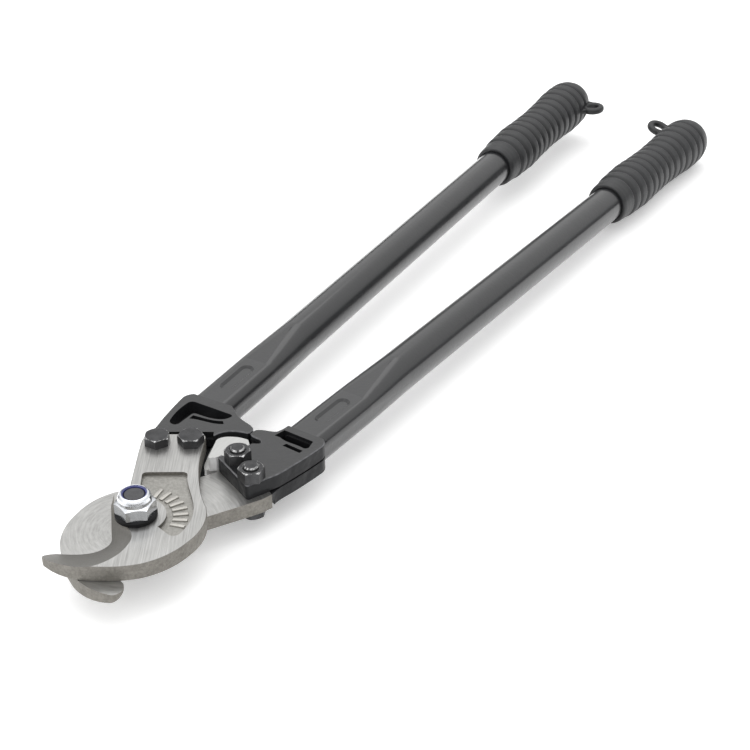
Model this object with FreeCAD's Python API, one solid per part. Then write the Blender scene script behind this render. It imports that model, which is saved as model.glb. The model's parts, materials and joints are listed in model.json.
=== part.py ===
import FreeCAD, Part
import math, os

os.makedirs("parts", exist_ok=True)
V = FreeCAD.Vector

# overall
blade_thickness = 9.2        # each blade, and each half of the brackets
shear_gap = 0.1              # each face stands this far from the shear plane
disc_radius = 36.4           # round back of each blade about the pivot
handle_reach = 644.0         # pivot to the end of the grips, along the tool

# handle tubes, one inch tube pressed flat at the front
tube_radius = 12.7
tube_wall = 2.0
tube_splay = 2.15            # degrees each tube leans outwards
tube_tilt = 0.56             # degrees each tube leans towards its own blade
socket_x = 32.5              # centre of the tube where it leaves the bracket
socket_y = 109.5
flat_width = 26.4
flat_height = 2 * blade_thickness
flat_corner = 6.4
flat_length = 48.0
round_start = 92.0
dimple_length = 29.0
dimple_width = 8.8          # at the surface
dimple_floor = 5.6          # width of its flat bottom
dimple_depth = 1.3
dimple_start = 12.5
spigot_length = 58.0
spigot_clearance = 0.15

# grips
grip_length = 155.0
rib_count = 12
rib_pitch = 10.0
first_groove = 15.0          # front rim to the first groove
groove_width = 2.4
groove_cut = 0.95
# how thick the rubber is over the tube, against distance from the front rim
grip_shape = [(0.0, 2.4), (3.0, 3.0), (8.0, 3.3), (21.0, 4.5), (41.0, 5.3), (61.0, 4.5),
              (80.0, 4.1), (101.0, 4.7), (121.0, 5.9), (137.0, 5.9)]
grip_end = [(140.5, 5.5), (145.0, 4.5), (149.2, 2.7), (152.6, 0.0), (154.4, -2.9)]
ring_outer = 9.2
ring_hole = 4.2
ring_height = 5.0
ring_offset = tube_radius + 10.7    # handle axis to the middle of the hanging hole
ring_back = 17.5             # end of the grip to the middle of the hanging hole
left_grip_roll = -4          # each grip was pushed on by hand, a little turned
right_grip_roll = 18

# blade bolts, M8
bolt_radius = 4.0
bolt_clearance = 0.15
bolt_hex = 13.0
bolt_head_height = 5.3
nut_height = 6.8
bolt_stickout = 1.6
outer_bolt = (-31.9, 58.4)
inner_bolt = (-16.0, 68.2)

# pivot, M12
pivot_radius = 6.0
pivot_running_gap = 0.05
pivot_hex = 2 * pivot_radius + 7.0
pivot_head_height = 7.5
pivot_washer_radius = pivot_radius + 5.2
pivot_washer_thickness = 2.4
pivot_face_gap = 0.1
pivot_nut_height = 12.0
pivot_nut_flats = 7.4
nut_bore = pivot_radius + 0.75      # seat of the locking ring in the nut
insert_height = 2.6

recess_depth = 2.0
recess_boss_radius = 15.6
groove_depth = 1.0
groove_half = 0.55
stop_gap = 0.4
edge_break = 0.35            # ground edges of the blades
casting_round = 1.0          # soft edges of the cast brackets

top = blade_thickness
face = shear_gap


def spline(points):
    curve = Part.BSplineCurve()
    curve.interpolate([V(p[0], p[1], p[2] if len(p) > 2 else 0) for p in points])
    return curve.toShape()


def outline(parts, z=0.0):
    # parts: ("line", points) or ("curve", points); each starts where the last one stopped
    edges = []
    for kind, points in parts:
        at = [V(p[0], p[1], z) for p in points]
        if kind == "line":
            for a, b in zip(at[:-1], at[1:]):
                edges.append(Part.makeLine(a, b))
        elif kind == "arc":
            edges.append(Part.Arc(at[0], at[1], at[2]).toShape())
        else:
            curve = Part.BSplineCurve()
            curve.interpolate(at)
            edges.append(curve.toShape())
    first = edges[0].Vertexes[0].Point
    last = V(parts[-1][1][-1][0], parts[-1][1][-1][1], z)
    if first.distanceToPoint(last) > 1e-6:
        edges.append(Part.makeLine(last, first))
    return Part.Wire(Part.__sortEdges__(edges))


def slab(parts, z0, z1):
    return Part.Face(outline(parts, z0)).extrude(V(0, 0, z1 - z0))


def polygon_slab(points, z0, z1):
    return slab([("line", list(points))], z0, z1)


def disc(x, y, radius, z0, z1):
    return Part.makeCylinder(radius, z1 - z0, V(x, y, z0))


def flipped(shape):
    # half a turn about the long axis of the tool carries one arm onto the other
    turned = shape.copy()
    turned.rotate(V(0, 0, 0), V(0, 1, 0), 180)
    return turned


def rounded(shape, radius, wanted):
    # rounds the chosen edges one after another, so one awkward corner does not spoil the rest
    chosen = [e for e in shape.Edges if wanted(e)]
    try:
        done = shape.makeFillet(radius, chosen)
        if done.isValid() and done.Volume > 0:
            return done
    except Exception:
        pass
    for middle in [e.CenterOfMass for e in chosen]:
        near = [e for e in shape.Edges if e.CenterOfMass.distanceToPoint(middle) < 1e-3]
        if not near:
            continue
        try:
            done = shape.makeFillet(radius, near[:1])
            if done.isValid() and abs(done.Volume - shape.Volume) < 0.02 * shape.Volume:
                shape = done
        except Exception:
            continue
    return shape


def eased(shape, amount, z, soft=False):
    # breaks the sharp edge round one flat face
    rim = [e for e in shape.Edges if abs(e.BoundBox.ZMin - z) < 1e-4 and abs(e.BoundBox.ZMax - z) < 1e-4]
    try:
        done = shape.makeFillet(amount, rim) if soft else shape.makeChamfer(amount, rim)
        if done.isValid() and done.Volume > 0:
            return done
    except Exception:
        pass
    # one edge at a time where the whole rim will not go
    for middle in [e.CenterOfMass for e in rim]:
        near = [e for e in shape.Edges if e.CenterOfMass.distanceToPoint(middle) < 0.6
                and abs(e.BoundBox.ZMin - z) < 1e-4 and abs(e.BoundBox.ZMax - z) < 1e-4]
        try:
            done = shape.makeFillet(amount, near[:1]) if soft else shape.makeChamfer(amount, near[:1])
            if done.isValid() and abs(done.Volume - shape.Volume) < 0.02 * shape.Volume:
                shape = done
        except Exception:
            print("left sharp", round(middle.x, 1), round(middle.y, 1), z)
    return shape


def upright_near(x, y, reach=1.2):
    def test(edge):
        box = edge.BoundBox
        return (box.ZLength > 2.0 and box.XLength < 0.01 and box.YLength < 0.01
                and math.hypot(box.Center.x - x, box.Center.y - y) < reach)
    return test


# ---------------------------------------------------------------- blades
tang_end = [(-13.6, 79.2), (-42.6, 61.6)]

blade_outline = [
    ("line", [tang_end[1], (-40.4, 55.2), (-36.0, 47.2)]),
    ("line", [(-36.0, 47.2), (-19.6, 19.4)]),
    ("curve", [(-19.6, 19.4), (-18.4, 14.8), (-20.0, 10.6), (-23.4, 7.0)]),
    ("line", [(-23.4, 7.0), (-6.4, -13.2)]),
    ("curve", [(-6.4, -13.2), (-3.9, -17.0), (-3.6, -21.5), (-5.0, -26.0), (-8.4, -30.4),
               (-13.5, -34.2), (-19.6, -37.6)]),
    ("curve", [(-19.6, -37.6), (-23.9, -41.2), (-24.2, -45.8), (-19.6, -49.0)]),
    ("curve", [(-19.6, -49.0), (-9.6, -49.9), (0.6, -47.9), (10.4, -43.2), (19.6, -37.2),
               (26.8, -30.4)]),
    ("curve", [(26.8, -30.4), (31.8, -22.6), (35.0, -14.0), (disc_radius, -4.0)]),
    ("arc", [(disc_radius, -4.0), (disc_radius * 0.966, disc_radius * 0.279),
             (disc_radius * 0.739, disc_radius * 0.672)]),
    ("curve", [(disc_radius * 0.739, disc_radius * 0.672), (20.0, 30.2), (12.0, 38.6),
               (4.0, 48.6), (-3.4, 60.0), (-9.4, 71.4), tang_end[0]]),
]

# cutting edge low on the bevel, and the line where the bevel reaches the top face
edge_low = [(-33.0, -45.0), (-20.5, -38.1), (-13.5, -34.2), (-8.4, -30.4), (-5.0, -26.0),
            (-3.6, -21.5), (-3.9, -17.0), (-6.4, -13.2), (-13.0, -5.5), (-23.0, 6.3), (-27.5, 11.4)]
edge_high = [(-36.0, -64.0), (-20.0, -57.0), (-6.0, -53.5), (5.0, -47.0), (11.0, -37.0),
             (12.8, -25.0), (10.6, -17.0), (2.6, -12.2), (-7.6, -6.6), (-17.2, 3.2), (-21.6, 8.4)]
edge_land = 0.8

recess_outline = [
    ("line", [(-15.2, 22.6), (-19.8, 29.6)]),
    ("curve", [(-19.8, 29.6), (-20.2, 31.6), (-18.6, 33.4)]),
    ("line", [(-18.6, 33.4), (-2.6, 43.4)]),
    ("curve", [(-2.6, 43.4), (-0.6, 43.6), (1.4, 42.0)]),
    ("curve", [(1.4, 42.0), (9.0, 33.4), (18.2, 24.6), (24.4, 16.6), (28.2, 6.0), (28.8, -0.6)]),
    ("curve", [(28.8, -0.6), (27.2, -3.8), (23.6, -4.2)]),
    ("line", [(23.6, -4.2), (8.0, 0.4)]),
]


def make_blade():
    body = slab(blade_outline, face, top)
    body = rounded(body, 3.2, upright_near(*tang_end[0]))
    body = eased(body, edge_break, top, True)
    low = face + edge_land
    high = top + 3.0
    # the bevel runs on past the top face at the same slope
    grow = (high - low) / (top - low)
    raised = [(a[0] + (b[0] - a[0]) * grow, a[1] + (b[1] - a[1]) * grow)
              for a, b in zip(edge_low, edge_high)]

    def ring(points, z):
        first, last = points[0], points[-1]
        far = [V(last[0], last[1], z), V(-70, last[1] + 4, z), V(-70, first[1] - 4, z),
               V(first[0], first[1], z)]
        edges = [spline([(p[0], p[1], z) for p in points])]
        edges += [Part.makeLine(a, b) for a, b in zip(far[:-1], far[1:])]
        return Part.Wire(edges)

    grind = Part.makeLoft([ring(edge_low, low), ring(raised, high)], True, True)
    body = body.cut(grind)
    recess = slab(recess_outline, top - recess_depth, top + 1)
    recess = recess.cut(disc(0, 0, recess_boss_radius, 0, top + 2))
    body = body.cut(recess)
    bore = pivot_radius + pivot_running_gap
    body = body.cut(disc(0, 0, bore, -1, top + 1))
    for x, y in (outer_bolt, inner_bolt):
        body = body.cut(disc(x, y, bolt_radius + bolt_clearance, -1, top + 1))
    return body


# ---------------------------------------------------------------- guide blocks
block_inner = [(-5.2, 65.4), (-13.0, 83.4)]       # side that lies against the bracket plate
block_tab = 2.6
block_outline = [
    ("line", [block_inner[1], block_inner[0], (-4.4, 63.8), (-1.0, 60.6)]),
    ("line", [(-1.0, 60.6), (4.6, 75.6)]),
    ("curve", [(4.6, 75.6), (5.2, 78.4), (3.8, 81.4), (0.0, 84.4), (-4.6, 86.2), (-9.6, 86.7)]),
]


def whole_tab(z0, z1):
    # ear round the inner bolt, with a neck that runs on under the block
    x, y = inner_bolt
    neck = polygon_slab([(-3.6, 67.4), (-9.0, 66.9), (-16.0, 64.2), (-16.0, 72.2),
                         (-10.6, 78.0), (-8.0, 78.0)], z0, z1)
    return disc(x, y, bolt_radius + 2.2, z0, z1).fuse(neck)


def tab_seat(z0, z1):
    return whole_tab(z0, z1).cut(slab(block_outline, z0 - 1, z1 + 1))


def make_guide_block():
    block = slab(block_outline, -top, -face - 0.1)
    block = rounded(block, 1.2, upright_near(-1.0, 60.6))
    x, y = inner_bolt
    block = block.fuse(whole_tab(-top, -top + block_tab)).removeSplitter()
    return block.cut(disc(x, y, bolt_radius + bolt_clearance, -top - 1, 0))


# ---------------------------------------------------------------- brackets
outer_side = [(-42.4, 69.0), (-44.2, 77.2), (-45.6, 84.2), (-46.8, 91.0), (-47.8, 97.4),
              (-48.3, 101.6)]
rear_outer = (-42.5, 110.4)
rear_corner = [outer_side[-1], (-47.9, 105.8), (-45.7, 108.9), rear_outer]
rear_inner = (-20.2, 110.9)

plate_outline = [
    ("line", [(-4.81, 64.5), (-34.4, 50.3)]),
    ("curve", [(-34.4, 50.3), (-37.4, 57.4), (-40.2, 63.6)] + outer_side),
    ("curve", rear_corner),
    ("line", [rear_outer, rear_inner]),
    ("curve", [rear_inner, (-19.8, 106.6), (-18.2, 102.2)]),
    ("curve", [(-18.2, 102.2), (-14.0, 100.5), (-9.8, 99.1), (-7.4, 97.4)]),
    ("line", [(-7.4, 97.4), (-6.4 - stop_gap, 95.6), (-6.4 - stop_gap, 92.6), (-8.2, 91.6)]),
    ("curve", [(-8.2, 91.6), (-12.6, 90.6), (-16.2, 89.4), (-16.8, 87.9), (-15.0, 86.6),
               block_inner[1]]),
]

body_outline = [
    ("line", [(-12.2, 80.05), tang_end[1]]),
    ("curve", [tang_end[1]] + outer_side),
    ("curve", rear_corner),
    ("line", [rear_outer, rear_inner]),
    ("curve", [rear_inner, (-14.4, 107.6), (-9.6, 104.0), (-7.2, 103.0)]),
    ("curve", [(-7.2, 103.0), (-2.0, 101.1), (2.6, 99.6), (5.0, 98.2)]),
    ("line", [(5.0, 98.2), (6.4, 96.0), (6.4, 93.2), (5.4, 92.0)]),
    ("curve", [(5.4, 92.0), (0.4, 90.8), (-4.0, 88.6), (-7.4, 85.2), (-9.0, 80.6)]),
]

groove_outline = [
    ("line", [(-20.0, 58.0), (-38.8, 58.4)]),
    ("curve", [(-38.8, 58.4), (-41.4 + groove_depth, 69.0)]
     + [(x + groove_depth, y) for x, y in outer_side[1:]]),
    ("curve", [(outer_side[-1][0] + groove_depth, outer_side[-1][1]), (-46.9, 105.4),
               (-45.0, 108.0), (-42.0, 109.4)]),
    ("line", [(-42.0, 109.4), (-42.0, 112.0), (-20.0, 112.0)]),
]

blade_side_pocket = [
    ("line", [(-34.4, 77.6), (-33.2, 79.4), (-32.8, 91.0)]),
    ("curve", [(-32.8, 91.0), (-32.2, 92.2), (-30.6, 92.8)]),
    ("curve", [(-30.6, 92.8), (-24.6, 93.0), (-19.0, 93.9), (-14.4, 96.2), (-12.2, 99.6)]),
    ("curve", [(-12.2, 99.6), (-12.0, 101.4), (-13.4, 102.4)]),
    ("line", [(-13.4, 102.4), (-38.2, 102.4)]),
    ("curve", [(-38.2, 102.4), (-41.0, 101.4), (-42.0, 98.6)]),
    ("curve", [(-42.0, 98.6), (-41.9, 90.0), (-39.9, 80.4)]),
    ("curve", [(-39.9, 80.4), (-37.6, 77.6), (-34.4, 77.6)]),
]

small_groove = [
    ("line", [(-31.4, 86.8), (-31.4, 90.6)]),
    ("curve", [(-31.4, 90.6), (-24.4, 91.4), (-18.6, 92.4), (-13.4, 94.6)]),
    ("line", [(-13.4, 94.6), (-11.2, 92.4)]),
    ("curve", [(-11.2, 92.4), (-16.8, 89.9), (-24.0, 88.7), (-29.0, 87.6)]),
]

plate_side_pocket = [
    ("line", [(-19.8, 98.0), (-23.6, 98.0)]),
    ("curve", [(-23.6, 98.0), (-26.6, 96.9), (-32.0, 96.4), (-40.6, 95.9)]),
    ("curve", [(-40.6, 95.9), (-42.4, 97.0), (-42.4, 99.4)]),
    ("line", [(-42.4, 99.4), (-41.6, 104.0), (-21.6, 105.2)]),
]

plate_side_slit = [
    ("line", [(-29.2, 92.0), (-41.0, 91.0), (-41.6, 93.6), (-30.0, 94.6)]),
]


def tube_frame(shape):
    placed = shape.copy()
    placed.rotate(V(0, 0, 0), V(1, 0, 0), tube_tilt)
    placed.rotate(V(0, 0, 0), V(0, 0, 1), tube_splay)
    placed.translate(V(-socket_x, socket_y, 0))
    return placed


def rounded_section(width, height, corner, y):
    # closed wire in a plane across the tube
    w, h, r = width / 2 - corner, height / 2 - corner, corner
    k = r * math.sqrt(0.5)
    edges = []
    corners = [(1, 1), (-1, 1), (-1, -1), (1, -1)]
    ends = []
    for sx, sz in corners:
        a = V(sx * (w + r), y, sz * h)
        b = V(sx * w, y, sz * (h + r))
        m = V(sx * (w + k), y, sz * (h + k))
        if sx * sz < 0:
            a, b = b, a
        ends.append((a, m, b))
    for i, (a, m, b) in enumerate(ends):
        edges.append(Part.Arc(a, m, b).toShape())
        nxt = ends[(i + 1) % 4][0]
        edges.append(Part.makeLine(b, nxt))
    return Part.Wire(edges)


def tube_core(width, height, corner, radius, start, end):
    # flat front, a soft change of section, then the plain round tube
    almost = 0.02
    front = rounded_section(width, height, corner, start)
    back = rounded_section(width, height, corner, flat_length)
    mid_y = (flat_length + round_start) / 2
    middle = rounded_section((width + 2 * radius) / 2 * 1.005, (height + 2 * radius) / 2,
                             (corner + radius) / 2, mid_y)
    full = rounded_section(2 * radius, 2 * radius, radius - almost, round_start)
    straight = Part.makeLoft([front, back], True, True)
    change = Part.makeLoft([back, middle, full], True, False)
    rest = Part.makeCylinder(radius, end - round_start, V(0, round_start, 0), V(0, 1, 0))
    return [straight, change, rest]


def joined(pieces):
    whole = pieces[0]
    for piece in pieces[1:]:
        whole = whole.fuse(piece)
    return whole.removeSplitter()


tube_length = handle_reach - socket_y - 6.0


def stadium(radius, length, y0, z):
    # long round ended outline lying flat
    near, far = y0 + radius, y0 + length - radius
    k = V(radius, near, z)
    edges = [Part.makeLine(k, V(radius, far, z)),
             Part.Arc(V(radius, far, z), V(0, far + radius, z), V(-radius, far, z)).toShape(),
             Part.makeLine(V(-radius, far, z), V(-radius, near, z)),
             Part.Arc(V(-radius, near, z), V(0, near - radius, z), k).toShape()]
    return Part.Wire(edges)


def dimple(side):
    # pressed mark with sloping walls in one flat face of the tube
    over = 0.5
    slope = (dimple_width - dimple_floor) / 2 / dimple_depth
    wide = dimple_width / 2 + over * slope
    z = side * flat_height / 2
    mouth = stadium(wide, dimple_length + 2 * over * slope, dimple_start - over * slope, z + side * over)
    inset = dimple_depth * slope
    floor = stadium(dimple_floor / 2, dimple_length - 2 * inset, dimple_start + inset,
                    z - side * dimple_depth)
    return Part.makeLoft([mouth, floor], True, True)


def make_tube():
    outer = joined(tube_core(flat_width, flat_height, flat_corner, tube_radius, 0.0, tube_length))
    inner = joined(tube_core(flat_width - 2 * tube_wall, flat_height - 2 * tube_wall,
                             flat_corner - tube_wall, tube_radius - tube_wall, -1.0,
                             tube_length + 1))
    tube = outer.cut(inner)
    for side in (1, -1):
        tube = tube.cut(dimple(side))
    return tube_frame(tube)


def make_bracket():
    plate = slab(plate_outline, -top, face)
    plate = rounded(plate, 1.5, upright_near(-4.81, 64.5))
    plate = rounded(plate, 1.6, upright_near(-34.4, 50.3))
    plate = eased(plate, casting_round, -top, True)
    body = slab(body_outline, face, top)
    body = eased(body, casting_round, top, True)
    bracket = plate.fuse(body).removeSplitter()
    # the rear face is square to the tube that bears on it
    bracket = bracket.cut(tube_frame(Part.makeBox(60, 10, 40, V(-30, 0, -20))))
    # blade side: relief along the end of the tang, L shaped pocket and the small groove
    along = V(tang_end[1][0] - tang_end[0][0], tang_end[1][1] - tang_end[0][1], 0).normalize()
    across = V(-along.y, along.x, 0)
    if across.y < 0:
        across = -across
    a = V(tang_end[0][0], tang_end[0][1], 0) - along * 4
    b = V(tang_end[1][0], tang_end[1][1], 0) + along * 3
    relief = polygon_slab([(a.x - across.x, a.y - across.y), (b.x - across.x, b.y - across.y),
                           (b.x + across.x * 2.2, b.y + across.y * 2.2),
                           (a.x + across.x * 2.2, a.y + across.y * 2.2)], top - 3.4, top + 1)
    bracket = bracket.cut(relief)
    bracket = bracket.cut(slab(blade_side_pocket, 1.2, top + 1))
    bracket = bracket.cut(slab(small_groove, top - 4.5, top + 1))
    bracket = bracket.cut(slab(plate_side_pocket, -top - 1, -1.4))
    bracket = bracket.cut(slab(plate_side_slit, -top - 1, -top + 3.2))
    # parting groove round the outer side
    belt = Part.makeBox(60, 70, 2 * groove_half, V(-60, 63.4, -groove_half))
    bracket = bracket.cut(belt.cut(slab(groove_outline, -groove_half - 1, groove_half + 1)))
    # seat for the tab of the guide block
    bracket = bracket.cut(tab_seat(-top - 1, -top + block_tab))
    spigot = Part.makeLoft([rounded_section(flat_width - 2 * tube_wall - 2 * spigot_clearance,
                                            flat_height - 2 * tube_wall - 2 * spigot_clearance,
                                            flat_corner - tube_wall - spigot_clearance, y)
                            for y in (-6.0, flat_length)], True, True)
    bracket = bracket.fuse(tube_frame(spigot)).removeSplitter()
    for x, y in (outer_bolt, inner_bolt):
        bracket = bracket.cut(disc(x, y, bolt_radius + bolt_clearance, -top - 1, top + 1))
    return bracket


# ---------------------------------------------------------------- grips
def grip_radius(along):
    for (s0, t0), (s1, t1) in zip(grip_shape[:-1], grip_shape[1:]):
        if along <= s1:
            part = (along - s0) / (s1 - s0)
            soft = part * part * (3 - 2 * part)
            return tube_radius + t0 + (t1 - t0) * soft
    return tube_radius + grip_shape[-1][1]


def make_grip():
    bore = tube_radius
    start = handle_reach - socket_y - grip_length
    # radius, distance from the front rim
    profile = [(bore, 0.0), (grip_radius(0) - 0.6, 0.0), (grip_radius(0), 0.7),
               (grip_radius(3), 3.0), (grip_radius(8), 8.0)]
    half = groove_width / 2
    for i in range(rib_count + 1):
        s = first_groove + i * rib_pitch
        low = grip_radius(s) - groove_cut
        profile += [(grip_radius(s - half), s - half), (low, s - 0.4 * half),
                    (low, s + 0.4 * half), (grip_radius(s + half), s + half)]
        if i < rib_count:
            for part in (0.28, 0.5, 0.72):
                at = s + part * rib_pitch
                profile.append((grip_radius(at) + 0.3 * math.sin(math.pi * part), at))
    profile.append((grip_radius(137.0), 137.0))
    profile += [(bore + thick, s) for s, thick in grip_end]
    profile += [(bore - 6.0, grip_length), (0, grip_length),
                (0, grip_length - 6.0), (bore, grip_length - 6.0)]
    points = [V(r, start + s, 0) for r, s in profile]
    grip = Part.Face(Part.makePolygon(points + [points[0]])).revolve(V(0, 0, 0), V(0, 1, 0), 360)
    # hanging ring on the inner side of the end
    ring_y = start + grip_length - ring_back
    h = ring_height / 2
    ring = Part.makeCylinder(ring_outer, ring_height, V(ring_offset, ring_y, -h))
    ring = ring.makeFillet(2.2, [e for e in ring.Edges if e.Curve.TypeId == "Part::GeomCircle"])
    arm = polygon_slab([(9, ring_y - 12.0), (ring_offset - 2, ring_y - ring_outer + 0.4),
                        (ring_offset - 2, ring_y + ring_outer - 0.4), (9, ring_y + 10.5)],
                       -h + 0.6, h - 0.6)
    arm = arm.cut(Part.makeCylinder(bore, grip_length - 6.0, V(0, start, 0), V(0, 1, 0)))
    grip = grip.fuse([ring, arm])
    grip = grip.cut(Part.makeCylinder(ring_hole, ring_height + 2, V(ring_offset, ring_y, -h - 1)))
    return grip.removeSplitter()


def place_grip(roll):
    grip = make_grip()
    grip.rotate(V(0, 0, 0), V(0, 1, 0), roll)
    return tube_frame(grip)


# ---------------------------------------------------------------- fasteners
def hexagon(flats, x, y, z0, z1, turn=0.0):
    r = flats / math.sqrt(3)
    points = [V(x + r * math.cos(math.radians(turn + 60 * i)),
                y + r * math.sin(math.radians(turn + 60 * i)), z0) for i in range(7)]
    return Part.Face(Part.makePolygon(points)).extrude(V(0, 0, z1 - z0))


def chamfered_hex(flats, x, y, z0, z1, turn, top_side=True, low_side=False, bite=0.5):
    # the corners are turned off at thirty degrees, as on any hexagon head
    block = hexagon(flats, x, y, z0, z1, turn)
    r = flats / math.sqrt(3)
    face_r = flats / 2 - 0.1
    drop = (r + bite - face_r) * math.tan(math.radians(30))
    turned = disc(x, y, r + bite, z0, z1)
    if top_side:
        turned = turned.common(Part.makeCylinder(r + bite, z1 - z0 - drop, V(x, y, z0)).fuse(
            Part.makeCone(r + bite, face_r, drop, V(x, y, z1 - drop))))
    if low_side:
        turned = turned.common(Part.makeCylinder(r + bite, z1 - z0 - drop, V(x, y, z0 + drop)).fuse(
            Part.makeCone(face_r, r + bite, drop, V(x, y, z0))))
    return block.common(turned)


def make_bolt(x, y, turn):
    head = chamfered_hex(bolt_hex, x, y, top, top + bolt_head_height, turn)
    end = -top - nut_height - bolt_stickout
    shank = disc(x, y, bolt_radius, end + 0.8, top)
    tip = Part.makeCone(bolt_radius - 0.7, bolt_radius, 0.8, V(x, y, end))
    return head.fuse([shank, tip]).removeSplitter()


def make_nut(x, y, turn):
    nut = chamfered_hex(bolt_hex, x, y, -top - nut_height, -top, turn, False, True)
    nut = nut.cut(disc(x, y, bolt_radius, -top - nut_height - 1, -top + 1))
    sink = Part.makeCone(bolt_radius + 0.9, bolt_radius, 0.9, V(x, y, -top - nut_height))
    return nut.cut(sink)


washer_low = top + pivot_face_gap
nut_low = washer_low + pivot_washer_thickness
nut_top = nut_low + pivot_nut_height


def make_pivot_bolt():
    head = chamfered_hex(pivot_hex, 0, 0, -top - pivot_head_height, -top, 12, False, True)
    shank = disc(0, 0, pivot_radius, -top, nut_top - 1.6)
    tip = Part.makeCone(pivot_radius, pivot_radius - 0.9, 0.9, V(0, 0, nut_top - 1.6))
    mark = Part.makeCone(1.1, 0.2, 0.7, V(0, 0, nut_top - 1.4))
    return head.fuse([shank, tip]).cut(mark).removeSplitter()


def make_pivot_nut():
    base = hexagon(pivot_hex, 0, 0, nut_low, nut_low + pivot_nut_flats, 42)
    r = pivot_hex / math.sqrt(3)
    collar_r = pivot_hex / 2 - 0.55
    rise = (r + 0.3 - collar_r) * math.tan(math.radians(32))
    turned = Part.makeCylinder(r + 0.3, pivot_nut_flats - rise, V(0, 0, nut_low)).fuse(
        Part.makeCone(r + 0.3, collar_r, rise, V(0, 0, nut_low + pivot_nut_flats - rise)))
    low = Part.makeCone(pivot_hex / 2 + 0.2, r + 0.6, 0.8, V(0, 0, nut_low)).fuse(
        Part.makeCylinder(r + 0.6, pivot_nut_flats, V(0, 0, nut_low + 0.8)))
    base = base.common(turned).common(low)
    z = nut_low + pivot_nut_flats
    t = nut_top
    profile = [V(nut_bore, 0, z), V(collar_r, 0, z), V(collar_r, 0, t - 2.6),
               V(collar_r - 0.5, 0, t - 1.2), V(collar_r - 1.3, 0, t - 0.4),
               V(collar_r - 2.2, 0, t), V(nut_bore, 0, t)]
    collar = Part.Face(Part.makePolygon(profile + [profile[0]])).revolve(V(0, 0, 0), V(0, 0, 1), 360)
    nut = base.fuse(collar)
    nut = nut.cut(disc(0, 0, pivot_radius, nut_low - 1, nut_top + 1))
    seat = disc(0, 0, nut_bore, nut_top - 0.5 - insert_height, nut_top + 1)
    return nut.cut(seat).removeSplitter()


def make_insert():
    z1 = nut_top - 0.5
    ring = disc(0, 0, nut_bore, z1 - insert_height, z1)
    return ring.cut(disc(0, 0, pivot_radius, z1 - insert_height - 1, z1 + 1))


def make_pivot_washer():
    ring = disc(0, 0, pivot_washer_radius, washer_low, washer_low + pivot_washer_thickness)
    ring = ring.makeChamfer(0.3, [e for e in ring.Edges if e.Length > 70])
    return ring.cut(disc(0, 0, pivot_radius, washer_low - 1, nut_low + 1))


blade = make_blade()
guide = make_guide_block()
bracket = make_bracket()
tube = make_tube()
bolt_turns = {"left_outer": 1, "left_inner": 35.5, "right_outer": 5, "right_inner": 31}
nut_turns = {"left_outer": 40, "left_inner": 14, "right_outer": 20.6, "right_inner": 29}

nodes = {
    "upper_blade": blade,
    "lower_blade": flipped(blade),
    "left_guide_block": guide,
    "right_guide_block": flipped(guide),
    "left_bracket": bracket,
    "right_bracket": flipped(bracket),
    "left_tube": tube,
    "right_tube": flipped(tube),
    "left_grip": place_grip(left_grip_roll),
    "right_grip": flipped(place_grip(right_grip_roll)),
    "pivot_bolt": make_pivot_bolt(),
    "pivot_nut": make_pivot_nut(),
    "pivot_nut_insert": make_insert(),
    "pivot_washer": make_pivot_washer(),
}
for place, spot in (("outer", outer_bolt), ("inner", inner_bolt)):
    for side, turned in (("left", lambda shape: shape), ("right", flipped)):
        name = side + "_" + place
        nodes[name + "_bolt"] = turned(make_bolt(*spot, bolt_turns[name]))
        nodes[name + "_nut"] = turned(make_nut(*spot, nut_turns[name]))

# origin at the middle of the outline, on the plane the tool rests on
whole = Part.makeCompound(list(nodes.values())).optimalBoundingBox(False, False)
shift = V(-(whole.XMin + whole.XMax) / 2, -(whole.YMin + whole.YMax) / 2, -whole.ZMin)
print("shift", round(shift.x, 4), round(shift.y, 4), round(shift.z, 4))
for name, shape in nodes.items():
    shape = shape.copy()
    shape.translate(shift)
    shape.exportStep(os.path.join("parts", name + ".step"))
    print(name, shape.isValid(), len(shape.Solids), round(shape.Volume, 1))
print("size", round(whole.XLength, 2), round(whole.YLength, 2), round(whole.ZLength, 2))
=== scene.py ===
import json
import math

import bmesh
import bpy
from mathutils import Matrix, Vector


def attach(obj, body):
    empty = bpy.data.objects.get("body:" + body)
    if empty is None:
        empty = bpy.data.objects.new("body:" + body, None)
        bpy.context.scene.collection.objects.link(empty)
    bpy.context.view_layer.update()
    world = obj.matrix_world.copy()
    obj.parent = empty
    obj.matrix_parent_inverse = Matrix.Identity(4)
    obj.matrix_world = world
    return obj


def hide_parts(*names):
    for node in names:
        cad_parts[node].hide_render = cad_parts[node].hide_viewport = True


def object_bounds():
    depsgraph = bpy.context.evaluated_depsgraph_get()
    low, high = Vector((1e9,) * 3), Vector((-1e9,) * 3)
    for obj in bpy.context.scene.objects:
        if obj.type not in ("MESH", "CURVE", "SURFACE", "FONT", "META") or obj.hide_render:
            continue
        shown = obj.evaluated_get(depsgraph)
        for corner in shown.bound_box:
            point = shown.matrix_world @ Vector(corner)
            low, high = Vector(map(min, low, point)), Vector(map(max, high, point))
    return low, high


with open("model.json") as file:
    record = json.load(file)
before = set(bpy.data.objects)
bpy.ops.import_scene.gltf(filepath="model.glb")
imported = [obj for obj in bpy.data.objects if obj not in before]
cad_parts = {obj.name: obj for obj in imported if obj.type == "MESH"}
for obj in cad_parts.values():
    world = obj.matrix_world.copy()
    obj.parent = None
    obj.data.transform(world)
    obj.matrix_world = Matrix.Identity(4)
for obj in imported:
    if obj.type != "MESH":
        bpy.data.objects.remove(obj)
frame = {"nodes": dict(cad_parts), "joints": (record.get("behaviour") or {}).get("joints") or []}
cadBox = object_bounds()
nodes = frame["nodes"]
print("frame loaded,", len(nodes), "nodes")

pivotAt = Vector(frame["joints"][0]["pos_m"])
mm = 0.001


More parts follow.
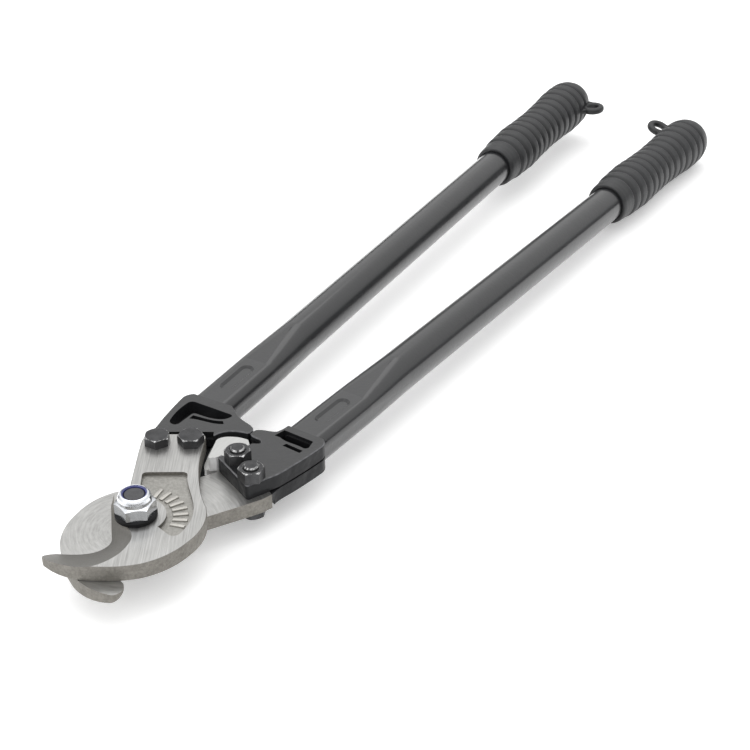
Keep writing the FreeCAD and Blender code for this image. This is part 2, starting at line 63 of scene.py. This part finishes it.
# one output socket, so that shader sums read as sums
class Wire:
    def __init__(self, tree, socket):
        self.tree = tree
        self.socket = socket

    def maths(self, kind, *others, clamp=False):
        node = self.tree.nodes.new("ShaderNodeMath")
        node.operation = kind
        node.use_clamp = clamp
        for slot, value in zip(node.inputs, (self,) + others):
            put(self.tree, slot, value)
        return Wire(self.tree, node.outputs[0])

    def __add__(self, other):
        return self.maths("ADD", other)

    __radd__ = __add__

    def __sub__(self, other):
        return self.maths("SUBTRACT", other)

    def __rsub__(self, other):
        return (self * -1) + other

    def __mul__(self, other):
        return self.maths("MULTIPLY", other)

    __rmul__ = __mul__

    def __pow__(self, other):
        return self.maths("POWER", other)

    def above(self, edge):
        return self.maths("GREATER_THAN", edge)

    def abs(self):
        return self.maths("ABSOLUTE")

    def clamp(self):
        return self.maths("ADD", 0.0, clamp=True)


def put(tree, slot, value):
    if isinstance(value, Wire):
        tree.links.new(value.socket, slot)
    elif slot.type == "RGBA" and len(value) == 3:
        slot.default_value = (*value, 1.0)
    else:
        slot.default_value = value


# grey stops, in rising order
def fillRamp(ramp, stops):
    while len(ramp.elements) < len(stops):
        ramp.elements.new(0.5)
    for element, (at, tone) in zip(ramp.elements, stops):
        element.position = at
        element.color = (tone, tone, tone, 1)


# one material and the nodes its surface is mixed from
class Paint:
    def __init__(self, name):
        self.material = bpy.data.materials.new(name)
        self.material.use_nodes = True
        self.tree = self.material.node_tree
        self.shader = self.tree.nodes["Principled BSDF"]
        coords = self.tree.nodes.new("ShaderNodeTexCoord")
        self.place = Wire(self.tree, coords.outputs["Object"])
        self.normal = Wire(self.tree, coords.outputs["Normal"])

    # a socket is given by its name, or as i0, i1 and so on by its number
    def node(self, kind, settings=None, out=0, **values):
        made = self.tree.nodes.new(kind)
        for key, value in (settings or {}).items():
            if key == "stops":
                fillRamp(made.color_ramp, value)
            else:
                setattr(made, key, value)
        for key, value in values.items():
            numbered = key[0] == "i" and key[1:].isdigit()
            put(self.tree, made.inputs[int(key[1:]) if numbered else key], value)
        return Wire(self.tree, made.outputs[out])

    def parts(self, vector):
        split = self.tree.nodes.new("ShaderNodeSeparateXYZ")
        put(self.tree, split.inputs[0], vector)
        return [Wire(self.tree, socket) for socket in split.outputs]

    # 1 where the surface faces straight up or down, 0 on an upright wall
    def levelness(self):
        return self.parts(self.normal)[2].abs()

    def point(self, x, y, z):
        return self.node("ShaderNodeCombineXYZ", i0=x, i1=y, i2=z)

    def fromPivot(self):
        return self.parts(self.node("ShaderNodeVectorMath", {"operation": "SUBTRACT"},
                                    i0=self.place, i1=tuple(pivotAt)))

    def stretched(self, factors):
        return self.node("ShaderNodeVectorMath", {"operation": "MULTIPLY"}, i0=self.place, i1=factors)

    def noise(self, vector, scale, detail=3.0, rough=0.5):
        return self.node("ShaderNodeTexNoise", Vector=vector, Scale=scale, Detail=detail, Roughness=rough)

    def ramp(self, fac, stops):
        return self.node("ShaderNodeValToRGB", {"stops": stops}, Fac=fac)

    def blend(self, fac, first, second):
        return self.node("ShaderNodeMix", {"data_type": "RGBA"}, out=2, i0=fac, i6=first, i7=second)

    def bump(self, height, strength, distance):
        return self.node("ShaderNodeBump", Height=height, Strength=strength, Distance=distance)

    def finish(self, **values):
        for key, value in values.items():
            put(self.tree, self.shader.inputs[key.replace("_", " ")], value)
        return self.material


# a closed shape gets outward faces and soft shading
def smoothShape(shape):
    bmesh.ops.recalc_face_normals(shape, faces=shape.faces)
    for face in shape.faces:
        face.smooth = True


def keepShape(shape, name, material):
    mesh = bpy.data.meshes.new(name)
    shape.to_mesh(mesh)
    shape.free()
    mesh.materials.append(material)
    made = bpy.data.objects.new(name, mesh)
    bpy.context.scene.collection.objects.link(made)
    return made


# both blades: ground flats, a coarser bevel and forged sides, each from dark to light
bladeLook = {
    "top": 9.2, "panelDepth": 2.0,
    "ground": ((0.24, 0.238, 0.23), (0.56, 0.557, 0.545)),
    "bevel": ((0.15, 0.145, 0.132), (0.27, 0.262, 0.245)),
    "forged": ((0.12, 0.113, 0.10), (0.36, 0.345, 0.315)),
    "panel": ((0.20, 0.195, 0.18), (0.44, 0.43, 0.405)),
    "brushLean": 31.0, "brushScale": 1300.0, "brushStretch": 0.03,
    "coarseScale": 230.0, "coarseStretch": 0.05,
    "ringScale": 800.0, "ringStretch": 0.004,
    "cloudScale": 42.0, "grainScale": 620.0, "forgeScale": 95.0,
    "metallic": 0.86, "roughness": 0.24, "bump": (0.5, 0.0005),
}


def makeBladeSteel(name, ringed, side):
    look = bladeLook
    paint = Paint(name)
    level = paint.levelness()
    flat = paint.ramp(level, [(0.955, 0.0), (0.99, 1.0)])
    wall = paint.ramp(level, [(0.25, 1.0), (0.55, 0.0)])
    x, y, z = paint.fromPivot()
    # the brush ran square to the end of the tang
    lean = math.radians(look["brushLean"]) * side
    across = x * math.cos(lean) + y * math.sin(lean)
    along = y * math.cos(lean) - x * math.sin(lean)
    brushAt = paint.point(across, along * look["brushStretch"], z)
    brushed = paint.noise(brushAt, look["brushScale"], 4.0, 0.62)
    coarseAt = paint.point(across, along * look["coarseStretch"], z)
    coarse = paint.noise(coarseAt, look["coarseScale"], 3.0, 0.6)
    marks = brushed
    if ringed:
        # grinding rings about the pivot
        radius = (x * x + y * y) ** 0.5
        around = y.maths("ARCTAN2", x)
        ringAt = paint.point(radius, around * look["ringStretch"], 0.0)
        marks = paint.noise(ringAt, look["ringScale"], 4.0, 0.7)
    cloud = paint.noise(paint.place, look["cloudScale"], 3.0, 0.55)
    grain = paint.noise(paint.place, look["grainScale"], 4.0, 0.7)
    forge = paint.noise(paint.place, look["forgeScale"], 4.0, 0.6)
    ground = paint.blend((marks * 1.2 + coarse * 0.22 + cloud * 0.40 - 0.44).clamp(), *look["ground"])
    forged = paint.blend((grain + forge * 0.7 - 0.4).clamp(), *look["forged"])
    bevel = paint.blend((grain * 0.5 + brushed * 0.8 - 0.2).clamp(), *look["bevel"])
    skin = paint.blend((grain * 1.1 + forge * 0.6 - 0.4).clamp(), *look["panel"])
    # the sunk panel keeps its forged skin: it lies below the face and well above the shear plane
    edge = (look["top"] - look["panelDepth"] * 0.5) * mm
    sunk = 1 - (z * side).above(edge)
    inside = (z * side).above(edge - look["panelDepth"] * 0.9 * mm)
    panel = sunk * inside * flat
    colour = paint.blend(flat, bevel, ground)
    colour = paint.blend(wall, colour, forged)
    colour = paint.blend(panel, colour, skin)
    rough = wall * 0.20 + (1 - flat) * 0.10 + marks * 0.16 + panel * 0.16 + look["roughness"]
    height = marks * flat * 0.45 + grain * wall + grain * panel * 1.1 + grain * (1 - flat) * 0.3
    return paint.finish(Base_Color=colour, Metallic=look["metallic"], Roughness=rough,
                        Normal=paint.bump(height, *look["bump"]))


# raised slats on the sunk panel of each blade
slatLook = {
    "radius": (18.8, 27.0), "width": 2.3, "height": 0.8, "round": 0.32,
    "first": 15.0, "step": 12.0, "count": 8,
    "steel": ((0.30, 0.29, 0.265), (0.60, 0.585, 0.55)), "grainScale": 900.0,
    "metallic": 0.8, "roughness": 0.3, "bump": (0.4, 0.0003),
}


def makeSlatSteel(name):
    look = slatLook
    paint = Paint(name)
    grain = paint.noise(paint.place, look["grainScale"], 4.0, 0.7)
    return paint.finish(Base_Color=paint.blend(grain, *look["steel"]), Metallic=look["metallic"],
                        Roughness=grain * 0.2 + look["roughness"], Normal=paint.bump(grain, *look["bump"]))


def makePanelSlats(name, body, side):
    look = slatLook
    floor = (bladeLook["top"] - bladeLook["panelDepth"]) * mm
    near, far = look["radius"]
    size = Vector((far - near, look["width"], look["height"] * 2)) * mm
    shape = bmesh.new()
    for i in range(look["count"]):
        made = bmesh.ops.create_cube(shape, size=1.0)["verts"]
        bmesh.ops.scale(shape, vec=size, verts=made)
        bmesh.ops.translate(shape, vec=((near + far) / 2 * mm, 0, 0), verts=made)
        turn = Matrix.Rotation(math.radians(look["first"] + look["step"] * i), 3, "Z")
        bmesh.ops.rotate(shape, cent=(0, 0, 0), matrix=turn, verts=made)
        # every edge but the lowest four, which are buried in the blade
        edges = dict.fromkeys(e for v in made for e in v.link_edges if max(p.co.z for p in e.verts) > 0)
        bmesh.ops.bevel(shape, geom=list(edges), offset=look["round"] * mm, offset_type="OFFSET",
                        segments=3, profile=0.5, affect="EDGES", material=-1, clamp_overlap=True)
    bmesh.ops.translate(shape, vec=(0, 0, floor), verts=shape.verts)
    if side < 0:
        bmesh.ops.rotate(shape, cent=(0, 0, 0), matrix=Matrix.Rotation(math.pi, 3, "Y"), verts=shape.verts)
    bmesh.ops.translate(shape, vec=pivotAt, verts=shape.verts)
    smoothShape(shape)
    slats = keepShape(shape, name, makeSlatSteel(name + "Steel"))
    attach(slats, body)


# black paint, with what its three uses share and what sets them apart
paintLook = {
    "darker": 0.7, "lighter": 1.4, "edgeHighlightTone": (0.16, 0.16, 0.17),
    "cloudScale": 22.0, "speckScale": 1500.0, "peelDeep": 0.0003, "coatRoughness": 0.12,
}
# edge sets how strongly the painted highlight shows on soft edges
castLook = {
    "base": (0.011, 0.0114, 0.0124), "roughness": 0.30, "shine": 0.12, "coat": (0.12, 1.0), "edge": 1.0,
    "skinScale": 300.0, "peel": 0.30, "castScale": 85.0, "castStrength": 0.9, "castDeep": 0.0018,
}
tubeLook = {
    "base": (0.014, 0.0144, 0.0155), "roughness": 0.26, "shine": 0.25, "coat": (0.85, 0.86), "edge": 0.0,
    "skinScale": 520.0, "peel": 0.22, "castScale": 60.0, "castStrength": 0.3, "castDeep": 0.0008,
}
washerLook = {
    "base": (0.004, 0.004, 0.0045), "roughness": 0.45, "shine": 0.25, "coat": (0.0, 0.02), "edge": 0.0,
    "skinScale": 400.0, "peel": 0.15, "castScale": 90.0, "castStrength": 0.05, "castDeep": 0.0003,
}


def makeBlackPaint(name, look):
    paint = Paint(name)
    cloud = paint.noise(paint.place, paintLook["cloudScale"], 3.0, 0.5)
    speck = paint.noise(paint.place, paintLook["speckScale"], 2.0, 0.5)
    skin = paint.noise(paint.place, look["skinScale"], 3.0, 0.55)
    cast = paint.noise(paint.place, look["castScale"], 2.0, 0.5)
    colour = paint.blend((cloud * 0.8 + speck * 0.3 - 0.05).clamp(),
                         tuple(tone * paintLook["darker"] for tone in look["base"]),
                         tuple(tone * paintLook["lighter"] for tone in look["base"]))
    # soft edges get a pale grey tone blended in, broken up by the skin noise: a painted highlight
    level = paint.levelness()
    edge = paint.ramp(level, [(0.22, 0.0), (0.45, 1.0), (0.80, 1.0), (0.96, 0.0)]) * look["edge"]
    colour = paint.blend((edge * (skin * 1.6 - 0.2)).clamp(), colour, paintLook["edgeHighlightTone"])
    # the more a face looks up or down, the thicker its clear coat
    low, high = look["coat"]
    coat = paint.ramp(level, [(0.35, low), (0.85, high)])
    casting = paint.bump(cast, look["castStrength"], look["castDeep"])
    peel = paint.node("ShaderNodeBump", Height=skin + speck * 0.35, Strength=look["peel"],
                      Distance=paintLook["peelDeep"], Normal=casting)
    return paint.finish(Base_Color=colour, Roughness=cloud * 0.10 + skin * 0.08 + look["roughness"],
                        Coat_Weight=coat, Coat_Roughness=paintLook["coatRoughness"],
                        Normal=peel, Specular_IOR_Level=look["shine"])


# moulded rubber of the grips
rubberLook = {
    "tone": ((0.010, 0.0104, 0.011), (0.026, 0.027, 0.029)),
    "grainScale": 1400.0, "cloudScale": 30.0, "roughness": 0.38, "bump": (0.35, 0.0003),
}


def makeGripRubber():
    look = rubberLook
    paint = Paint("gripRubber")
    grain = paint.noise(paint.place, look["grainScale"], 3.0, 0.6)
    cloud = paint.noise(paint.place, look["cloudScale"], 3.0, 0.5)
    colour = paint.blend((grain * 0.6 + cloud * 0.6 - 0.1).clamp(), *look["tone"])
    return paint.finish(Base_Color=colour, Roughness=cloud * 0.12 + look["roughness"],
                        Normal=paint.bump(grain, *look["bump"]))


# ribbed grips, spun round the handle, each with its hanging ring
gripLook = {
    "tube": 12.7, "slack": 0.12, "length": 155.0, "endWall": 5.9, "reach": 644.0, "socket": (32.5, 109.5),
    "splay": 2.15, "tilt": 0.56, "roll": {"left": -4.0, "right": 18.0}, "steps": 72, "weld": 0.002,
    # distance along the grip and thickness of rubber over the tube
    "shape": [(0.0, 2.4), (3.0, 3.0), (8.0, 3.3), (21.0, 4.5), (41.0, 5.3), (61.0, 4.5),
              (80.0, 4.1), (101.0, 4.7), (121.0, 5.9), (137.0, 5.9)],
    "end": [(140.5, 5.5), (145.0, 4.5), (149.2, 2.7), (152.6, 0.0), (154.4, -2.9), (155.0, -6.0)],
    # the open mouth: a chamfer inside, and thickness and distance along outside
    "chamfer": (0.4, 0.1), "mouth": [(1.8, 0.0), (2.2, 0.2), (2.45, 0.7)], "skinFrom": 1.2,
    "firstGroove": 15.0, "pitch": 10.0, "ribs": 12, "grooveWidth": 4.2, "grooveCut": 1.5,
    "ribCrown": 0.25, "grooveStep": 0.4, "ribStep": 0.9,
    "ringOuter": 9.2, "ringHole": 4.2, "ringHeight": 5.0, "ringSoft": 2.1, "ringSteps": 48,
    "ringOffset": 23.4, "ringBack": 17.5,
    "webRoot": (15.0, -12.0, 10.5), "webNeck": (2.0, 0.4), "webThick": 3.8, "webRound": 0.5,
    "notch": 6.0, "notchFrom": 110, "notchSteps": 10,
}


def rubberThickness(along):
    body = gripLook["shape"]
    table = body if along <= body[-1][0] else [body[-1]] + gripLook["end"]
    for (s0, t0), (s1, t1) in zip(table[:-1], table[1:]):
        if along <= s1:
            part = (along - s0) / (s1 - s0)
            # the body swells smoothly, and the rounded end runs from point to point
            if table is body:
                part = part * part * (3 - 2 * part)
            return t0 + (t1 - t0) * part
    return table[-1][1]


# half of the grip's section: distance from the axis and distance along it
def gripProfile():
    look = gripLook
    tube, half = look["tube"], look["grooveWidth"] / 2
    bore, inner = tube + look["slack"], look["length"] - look["endWall"]
    wide, deep = look["chamfer"]
    points = [(0.0, inner), (bore, inner), (bore, deep), (bore + wide, 0.0)]
    points += [(tube + out, s) for out, s in look["mouth"]]
    s = look["skinFrom"]
    while s < look["length"]:
        r = tube + rubberThickness(s)
        turn = (s - look["firstGroove"]) / look["pitch"]
        nearest = min(max(round(turn), 0), look["ribs"])
        off = abs(s - look["firstGroove"] - nearest * look["pitch"])
        if off < half:
            r -= look["grooveCut"] * (0.5 + 0.5 * math.cos(math.pi * off / half))
        elif 0 < turn < look["ribs"]:
            r += look["ribCrown"] * math.sin(math.pi * (turn % 1.0))
        points.append((r, s))
        s += look["grooveStep"] if off < half + 0.5 else look["ribStep"]
    points.append((0.0, look["length"]))
    return points


def addHangingRing(shape, start):
    look = gripLook
    across, along = look["ringOffset"], start + look["length"] - look["ringBack"]
    half, soft = look["ringHeight"] / 2, look["ringSoft"]
    # a rounded box, corner by corner, which is spun into the ring
    section = []
    outer, inner, rise = look["ringOuter"] - soft, look["ringHole"] + soft, half - soft
    for r, z, first in ((outer, rise, 0), (inner, rise, 90), (inner, -rise, 180), (outer, -rise, 270)):
        for i in range(7):
            a = math.radians(first + 15 * i)
            section.append((across + r + soft * math.cos(a), z + soft * math.sin(a)))
    verts = [shape.verts.new((x * mm, along * mm, z * mm)) for x, z in section]
    edges = [shape.edges.new((verts[i], verts[(i + 1) % len(verts)])) for i in range(len(verts))]
    bmesh.ops.spin(shape, geom=verts + edges, cent=(across * mm, along * mm, 0), axis=(0, 0, 1),
                   angle=math.tau, steps=look["ringSteps"], use_merge=True, dvec=(0, 0, 0))
    # web between the ring and the grip, notched so that the hole stays open
    root, back, front = look["webRoot"]
    neck, inset = look["webNeck"]
    rim = [(root, back), (across - neck, inset - look["ringOuter"])]
    turn = (360 - 2 * look["notchFrom"]) / look["notchSteps"]
    for i in range(look["notchSteps"] + 1):
        a = -math.radians(look["notchFrom"] + turn * i)
        rim.append((across + look["notch"] * math.cos(a), look["notch"] * math.sin(a)))
    rim += [(across - neck, look["ringOuter"] - inset), (root, front)]
    thick = look["webThick"]
    low = [shape.verts.new((x * mm, (along + y) * mm, -thick / 2 * mm)) for x, y in rim]
    made = bmesh.ops.extrude_face_region(shape, geom=[shape.faces.new(low)])["geom"]
    top = [v for v in made if isinstance(v, bmesh.types.BMVert)]
    bmesh.ops.translate(shape, vec=(0, 0, thick * mm), verts=top)
    edges = [e for e in shape.edges if any(set(e.verts) <= set(side) for side in (low, top))]
    bmesh.ops.bevel(shape, geom=edges, offset=look["webRound"] * mm, offset_type="OFFSET", segments=2,
                    profile=0.5, affect="EDGES", material=-1, clamp_overlap=True)


def makeGrip(name, body, node, hand, rubber):
    look = gripLook
    start = look["reach"] - look["socket"][1] - look["length"]
    shape = bmesh.new()
    verts = [shape.verts.new((r * mm, (start + s) * mm, 0)) for r, s in gripProfile()]
    edges = [shape.edges.new(pair) for pair in zip(verts[:-1], verts[1:])]
    bmesh.ops.spin(shape, geom=verts + edges, cent=(0, 0, 0), axis=(0, 1, 0), angle=math.tau,
                   steps=look["steps"], use_merge=True, dvec=(0, 0, 0))
    bmesh.ops.remove_doubles(shape, verts=shape.verts, dist=look["weld"] * mm)
    addHangingRing(shape, start)
    place = (Matrix.Translation(Vector((-look["socket"][0], look["socket"][1], 0)) * mm)
             @ Matrix.Rotation(math.radians(look["splay"]), 4, "Z")
             @ Matrix.Rotation(math.radians(look["tilt"]), 4, "X")
             @ Matrix.Rotation(math.radians(look["roll"][hand]), 4, "Y"))
    if hand == "right":
        place = Matrix.Rotation(math.pi, 4, "Y") @ place
    bmesh.ops.transform(shape, matrix=Matrix.Translation(pivotAt) @ place, verts=shape.verts)
    smoothShape(shape)
    grip = keepShape(shape, name, rubber)
    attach(grip, body)
    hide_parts(node)


# blade bolts and their nuts
oxideLook = {
    "dark": ((0.018, 0.018, 0.019), (0.085, 0.085, 0.088)), "bare": (0.52, 0.52, 0.52),
    "scratchScale": 1100.0, "blotchScale": 160.0, "metallic": 0.7, "roughness": 0.28, "bump": (0.25, 0.0003),
}


def makeBlackOxide():
    look = oxideLook
    paint = Paint("blackOxide")
    scratch = paint.noise(paint.stretched((1.0, 0.12, 1.0)), look["scratchScale"], 3.0, 0.6)
    blotch = paint.noise(paint.place, look["blotchScale"], 4.0, 0.65)
    # the turned-off corners are rubbed back to bright metal
    worn = paint.ramp(paint.levelness(), [(0.42, 0.0), (0.50, 1.0), (0.95, 1.0), (0.985, 0.0)])
    rubbed = (worn * paint.ramp(scratch, [(0.44, 0.0), (0.60, 1.0)])).clamp()
    dark = paint.blend((blotch * 1.4 - 0.2).clamp(), *look["dark"])
    return paint.finish(Base_Color=paint.blend(rubbed, dark, look["bare"]), Metallic=look["metallic"],
                        Roughness=scratch * 0.2 + look["roughness"],
                        Normal=paint.bump(scratch + blotch, *look["bump"]))


# pivot nut
zincLook = {
    "tone": ((0.62, 0.64, 0.68), (0.90, 0.91, 0.93)), "hazeScale": 170.0, "fineScale": 1300.0,
    "metallic": 1.0, "roughness": 0.14, "bump": (0.10, 0.0002),
}


def makeZinc():
    look = zincLook
    paint = Paint("zincPlate")
    haze = paint.noise(paint.place, look["hazeScale"], 3.0, 0.5)
    fine = paint.noise(paint.place, look["fineScale"], 3.0, 0.5)
    return paint.finish(Base_Color=paint.blend(haze, *look["tone"]), Metallic=look["metallic"],
                        Roughness=haze * 0.12 + look["roughness"], Normal=paint.bump(fine, *look["bump"]))


# locking ring in the top of the pivot nut
nylonLook = {"tone": ((0.030, 0.034, 0.13), (0.09, 0.10, 0.28)), "hazeScale": 420.0, "roughness": 0.34}


def makeNylon():
    look = nylonLook
    paint = Paint("nylonRing")
    haze = paint.noise(paint.place, look["hazeScale"], 3.0, 0.5)
    return paint.finish(Base_Color=paint.blend(haze, *look["tone"]), Roughness=haze * 0.1 + look["roughness"])


# guide blocks: brushed grey tops, and duller sides painted near white as a painted reflection of the floor
guideLook = {
    "top": ((0.40, 0.40, 0.39), (0.58, 0.58, 0.57)), "side": ((0.80, 0.80, 0.80), (0.95, 0.95, 0.95)),
    "lineScale": 900.0, "grainScale": 500.0, "metallic": 0.3, "roughness": 0.28, "bump": (0.2, 0.0003),
}


def makeGuideSteel():
    look = guideLook
    paint = Paint("guideSteel")
    flat = paint.ramp(paint.levelness(), [(0.80, 0.0), (0.97, 1.0)])
    line = paint.noise(paint.stretched((1.0, 0.08, 1.0)), look["lineScale"], 3.0, 0.6)
    grain = paint.noise(paint.place, look["grainScale"], 3.0, 0.6)
    top = paint.blend(line, *look["top"])
    # the sides' near-white tone is painted light: a painted reflection standing in for the bright floor
    side = paint.blend(grain, *look["side"])
    return paint.finish(Base_Color=paint.blend(flat, side, top), Metallic=flat * 0.5 + look["metallic"],
                        Roughness=grain * 0.14 + look["roughness"],
                        Normal=paint.bump(line + grain * 0.5, *look["bump"]))


# pivot bolt, turned in a lathe
boltLook = {
    "tone": ((0.03, 0.03, 0.033), (0.13, 0.13, 0.135)), "turnedScale": 2600.0, "blotchScale": 300.0,
    "metallic": 0.8, "roughness": 0.32, "bump": (0.25, 0.0002),
}


def makeBoltEnd():
    look = boltLook
    paint = Paint("boltEnd")
    x, y = paint.fromPivot()[:2]
    turned = paint.noise(paint.point((x * x + y * y) ** 0.5, 0.0, 0.0), look["turnedScale"], 2.0, 0.5)
    blotch = paint.noise(paint.place, look["blotchScale"], 3.0, 0.6)
    colour = paint.blend((turned * 0.5 + blotch * 0.6 - 0.05).clamp(), *look["tone"])
    return paint.finish(Base_Color=colour, Metallic=look["metallic"],
                        Roughness=blotch * 0.15 + look["roughness"], Normal=paint.bump(turned, *look["bump"]))


def dress(material, *names):
    for name in names:
        for slot in nodes[name].material_slots:
            slot.material = material


dress(makeBladeSteel("upperBladeSteel", False, 1), "upper_blade")
dress(makeBladeSteel("lowerBladeSteel", True, -1), "lower_blade")
dress(makeGuideSteel(), "left_guide_block", "right_guide_block")
dress(makeBlackPaint("castBlack", castLook), "left_bracket", "right_bracket")
dress(makeBlackPaint("tubeBlack", tubeLook), "left_tube", "right_tube")
dress(makeBlackPaint("washerBlack", washerLook), "pivot_washer")
dress(makeZinc(), "pivot_nut")
dress(makeNylon(), "pivot_nut_insert")
dress(makeBoltEnd(), "pivot_bolt")
blackOxide = makeBlackOxide()
for side in ("left", "right"):
    for spot in ("outer", "inner"):
        dress(blackOxide, f"{side}_{spot}_bolt", f"{side}_{spot}_nut")
print("metal and paint are on")

makePanelSlats("upperPanelSlats", "left_arm", 1)
makePanelSlats("lowerPanelSlats", "right_arm", -1)
print("slats stand on both panels")

gripRubber = makeGripRubber()
makeGrip("leftRubberGrip", "left_arm", "left_grip", "left", gripRubber)
makeGrip("rightRubberGrip", "right_arm", "right_grip", "right", gripRubber)
print("grips are pushed on")


# floor, light and camera, placed from the pivot or the middle of the floor, in metres
studio = {
    "floorSize": 9.0, "floorGap": 0.0004, "floorTone": 0.95, "floorGlow": 0.26, "floorHaze": 3.0,
    "sky": [(0.0, 0.02), (0.10, 0.05), (0.26, 0.80), (0.5, 0.95), (1.0, 1.0)],
    "skyStrength": 1.15, "backdrop": (0.9, 0.9, 0.9),
    "lens": 75.13, "sensor": 36.0, "eye": (0.4439, -0.4900, 0.5037), "aim": (0.02709, 0.19383, 0.0),
}
lamps = {
    "overhead": {"place": (-0.4, 0.3, 1.9), "aim": (0, 0, 0), "size": (2.2, 2.2), "power": 14.0},
    "front": {"place": (-0.5, -1.5, 0.6), "aim": (0, -0.25, 0), "size": (1.0, 0.8), "power": 4.0},
}


# turns a lamp or the camera from where it stands towards what it points at
def aimed(place, aim):
    return (Vector(aim) - Vector(place)).to_track_quat("-Z", "Y").to_euler()


def makeFloor():
    paint = Paint("floorWhite")
    tone = studio["floorTone"]
    haze = paint.noise(paint.place, studio["floorHaze"], 2.0, 0.5)
    colour = paint.blend(haze, (tone,) * 3, (tone * 1.01,) * 3)
    white = paint.finish(Base_Color=colour, Roughness=0.9, Specular_IOR_Level=0.0,
                         Emission_Color=(1, 1, 1), Emission_Strength=studio["floorGlow"])
    shape = bmesh.new()
    bmesh.ops.create_grid(shape, x_segments=1, y_segments=1, size=studio["floorSize"])
    floor = keepShape(shape, "floor", white)
    floor.location.z = cadBox[0].z - studio["floorGap"]


def makeSky():
    world = bpy.data.worlds.new("studio")
    world.use_nodes = True
    tree = world.node_tree
    coords = tree.nodes.new("ShaderNodeTexCoord")
    split = tree.nodes.new("ShaderNodeSeparateXYZ")
    tree.links.new(coords.outputs["Generated"], split.inputs[0])
    ramp = tree.nodes.new("ShaderNodeValToRGB")
    fillRamp(ramp.color_ramp, studio["sky"])
    tree.links.new(split.outputs["Z"], ramp.inputs["Fac"])
    # surfaces mirror the studio's dark horizon, and the eye sees a plain pale wall
    rays = tree.nodes.new("ShaderNodeLightPath")
    seen = tree.nodes.new("ShaderNodeMix")
    seen.data_type = "RGBA"
    put(tree, seen.inputs[7], studio["backdrop"])
    tree.links.new(rays.outputs["Is Camera Ray"], seen.inputs[0])
    tree.links.new(ramp.outputs["Color"], seen.inputs[6])
    tree.links.new(seen.outputs[2], tree.nodes["Background"].inputs["Color"])
    tree.nodes["Background"].inputs["Strength"].default_value = studio["skyStrength"]
    bpy.context.scene.world = world


def makeLamp(name, look):
    data = bpy.data.lights.new(name, "AREA")
    data.shape = "RECTANGLE"
    data.size, data.size_y = look["size"]
    data.energy = look["power"]
    lamp = bpy.data.objects.new(name, data)
    lamp.location = look["place"]
    lamp.rotation_euler = aimed(look["place"], look["aim"])
    bpy.context.scene.collection.objects.link(lamp)


def makeCamera():
    data = bpy.data.cameras.new("camera")
    data.lens = studio["lens"]
    data.sensor_width = studio["sensor"]
    camera = bpy.data.objects.new("camera", data)
    camera.location = pivotAt + Vector(studio["eye"])
    camera.rotation_euler = aimed(studio["eye"], studio["aim"])
    bpy.context.scene.collection.objects.link(camera)
    bpy.context.scene.camera = camera


makeFloor()
makeSky()
for name, look in lamps.items():
    makeLamp(name, look)
makeCamera()
bpy.context.scene.view_settings.view_transform = "Standard"
print("floor, lights and camera are set")
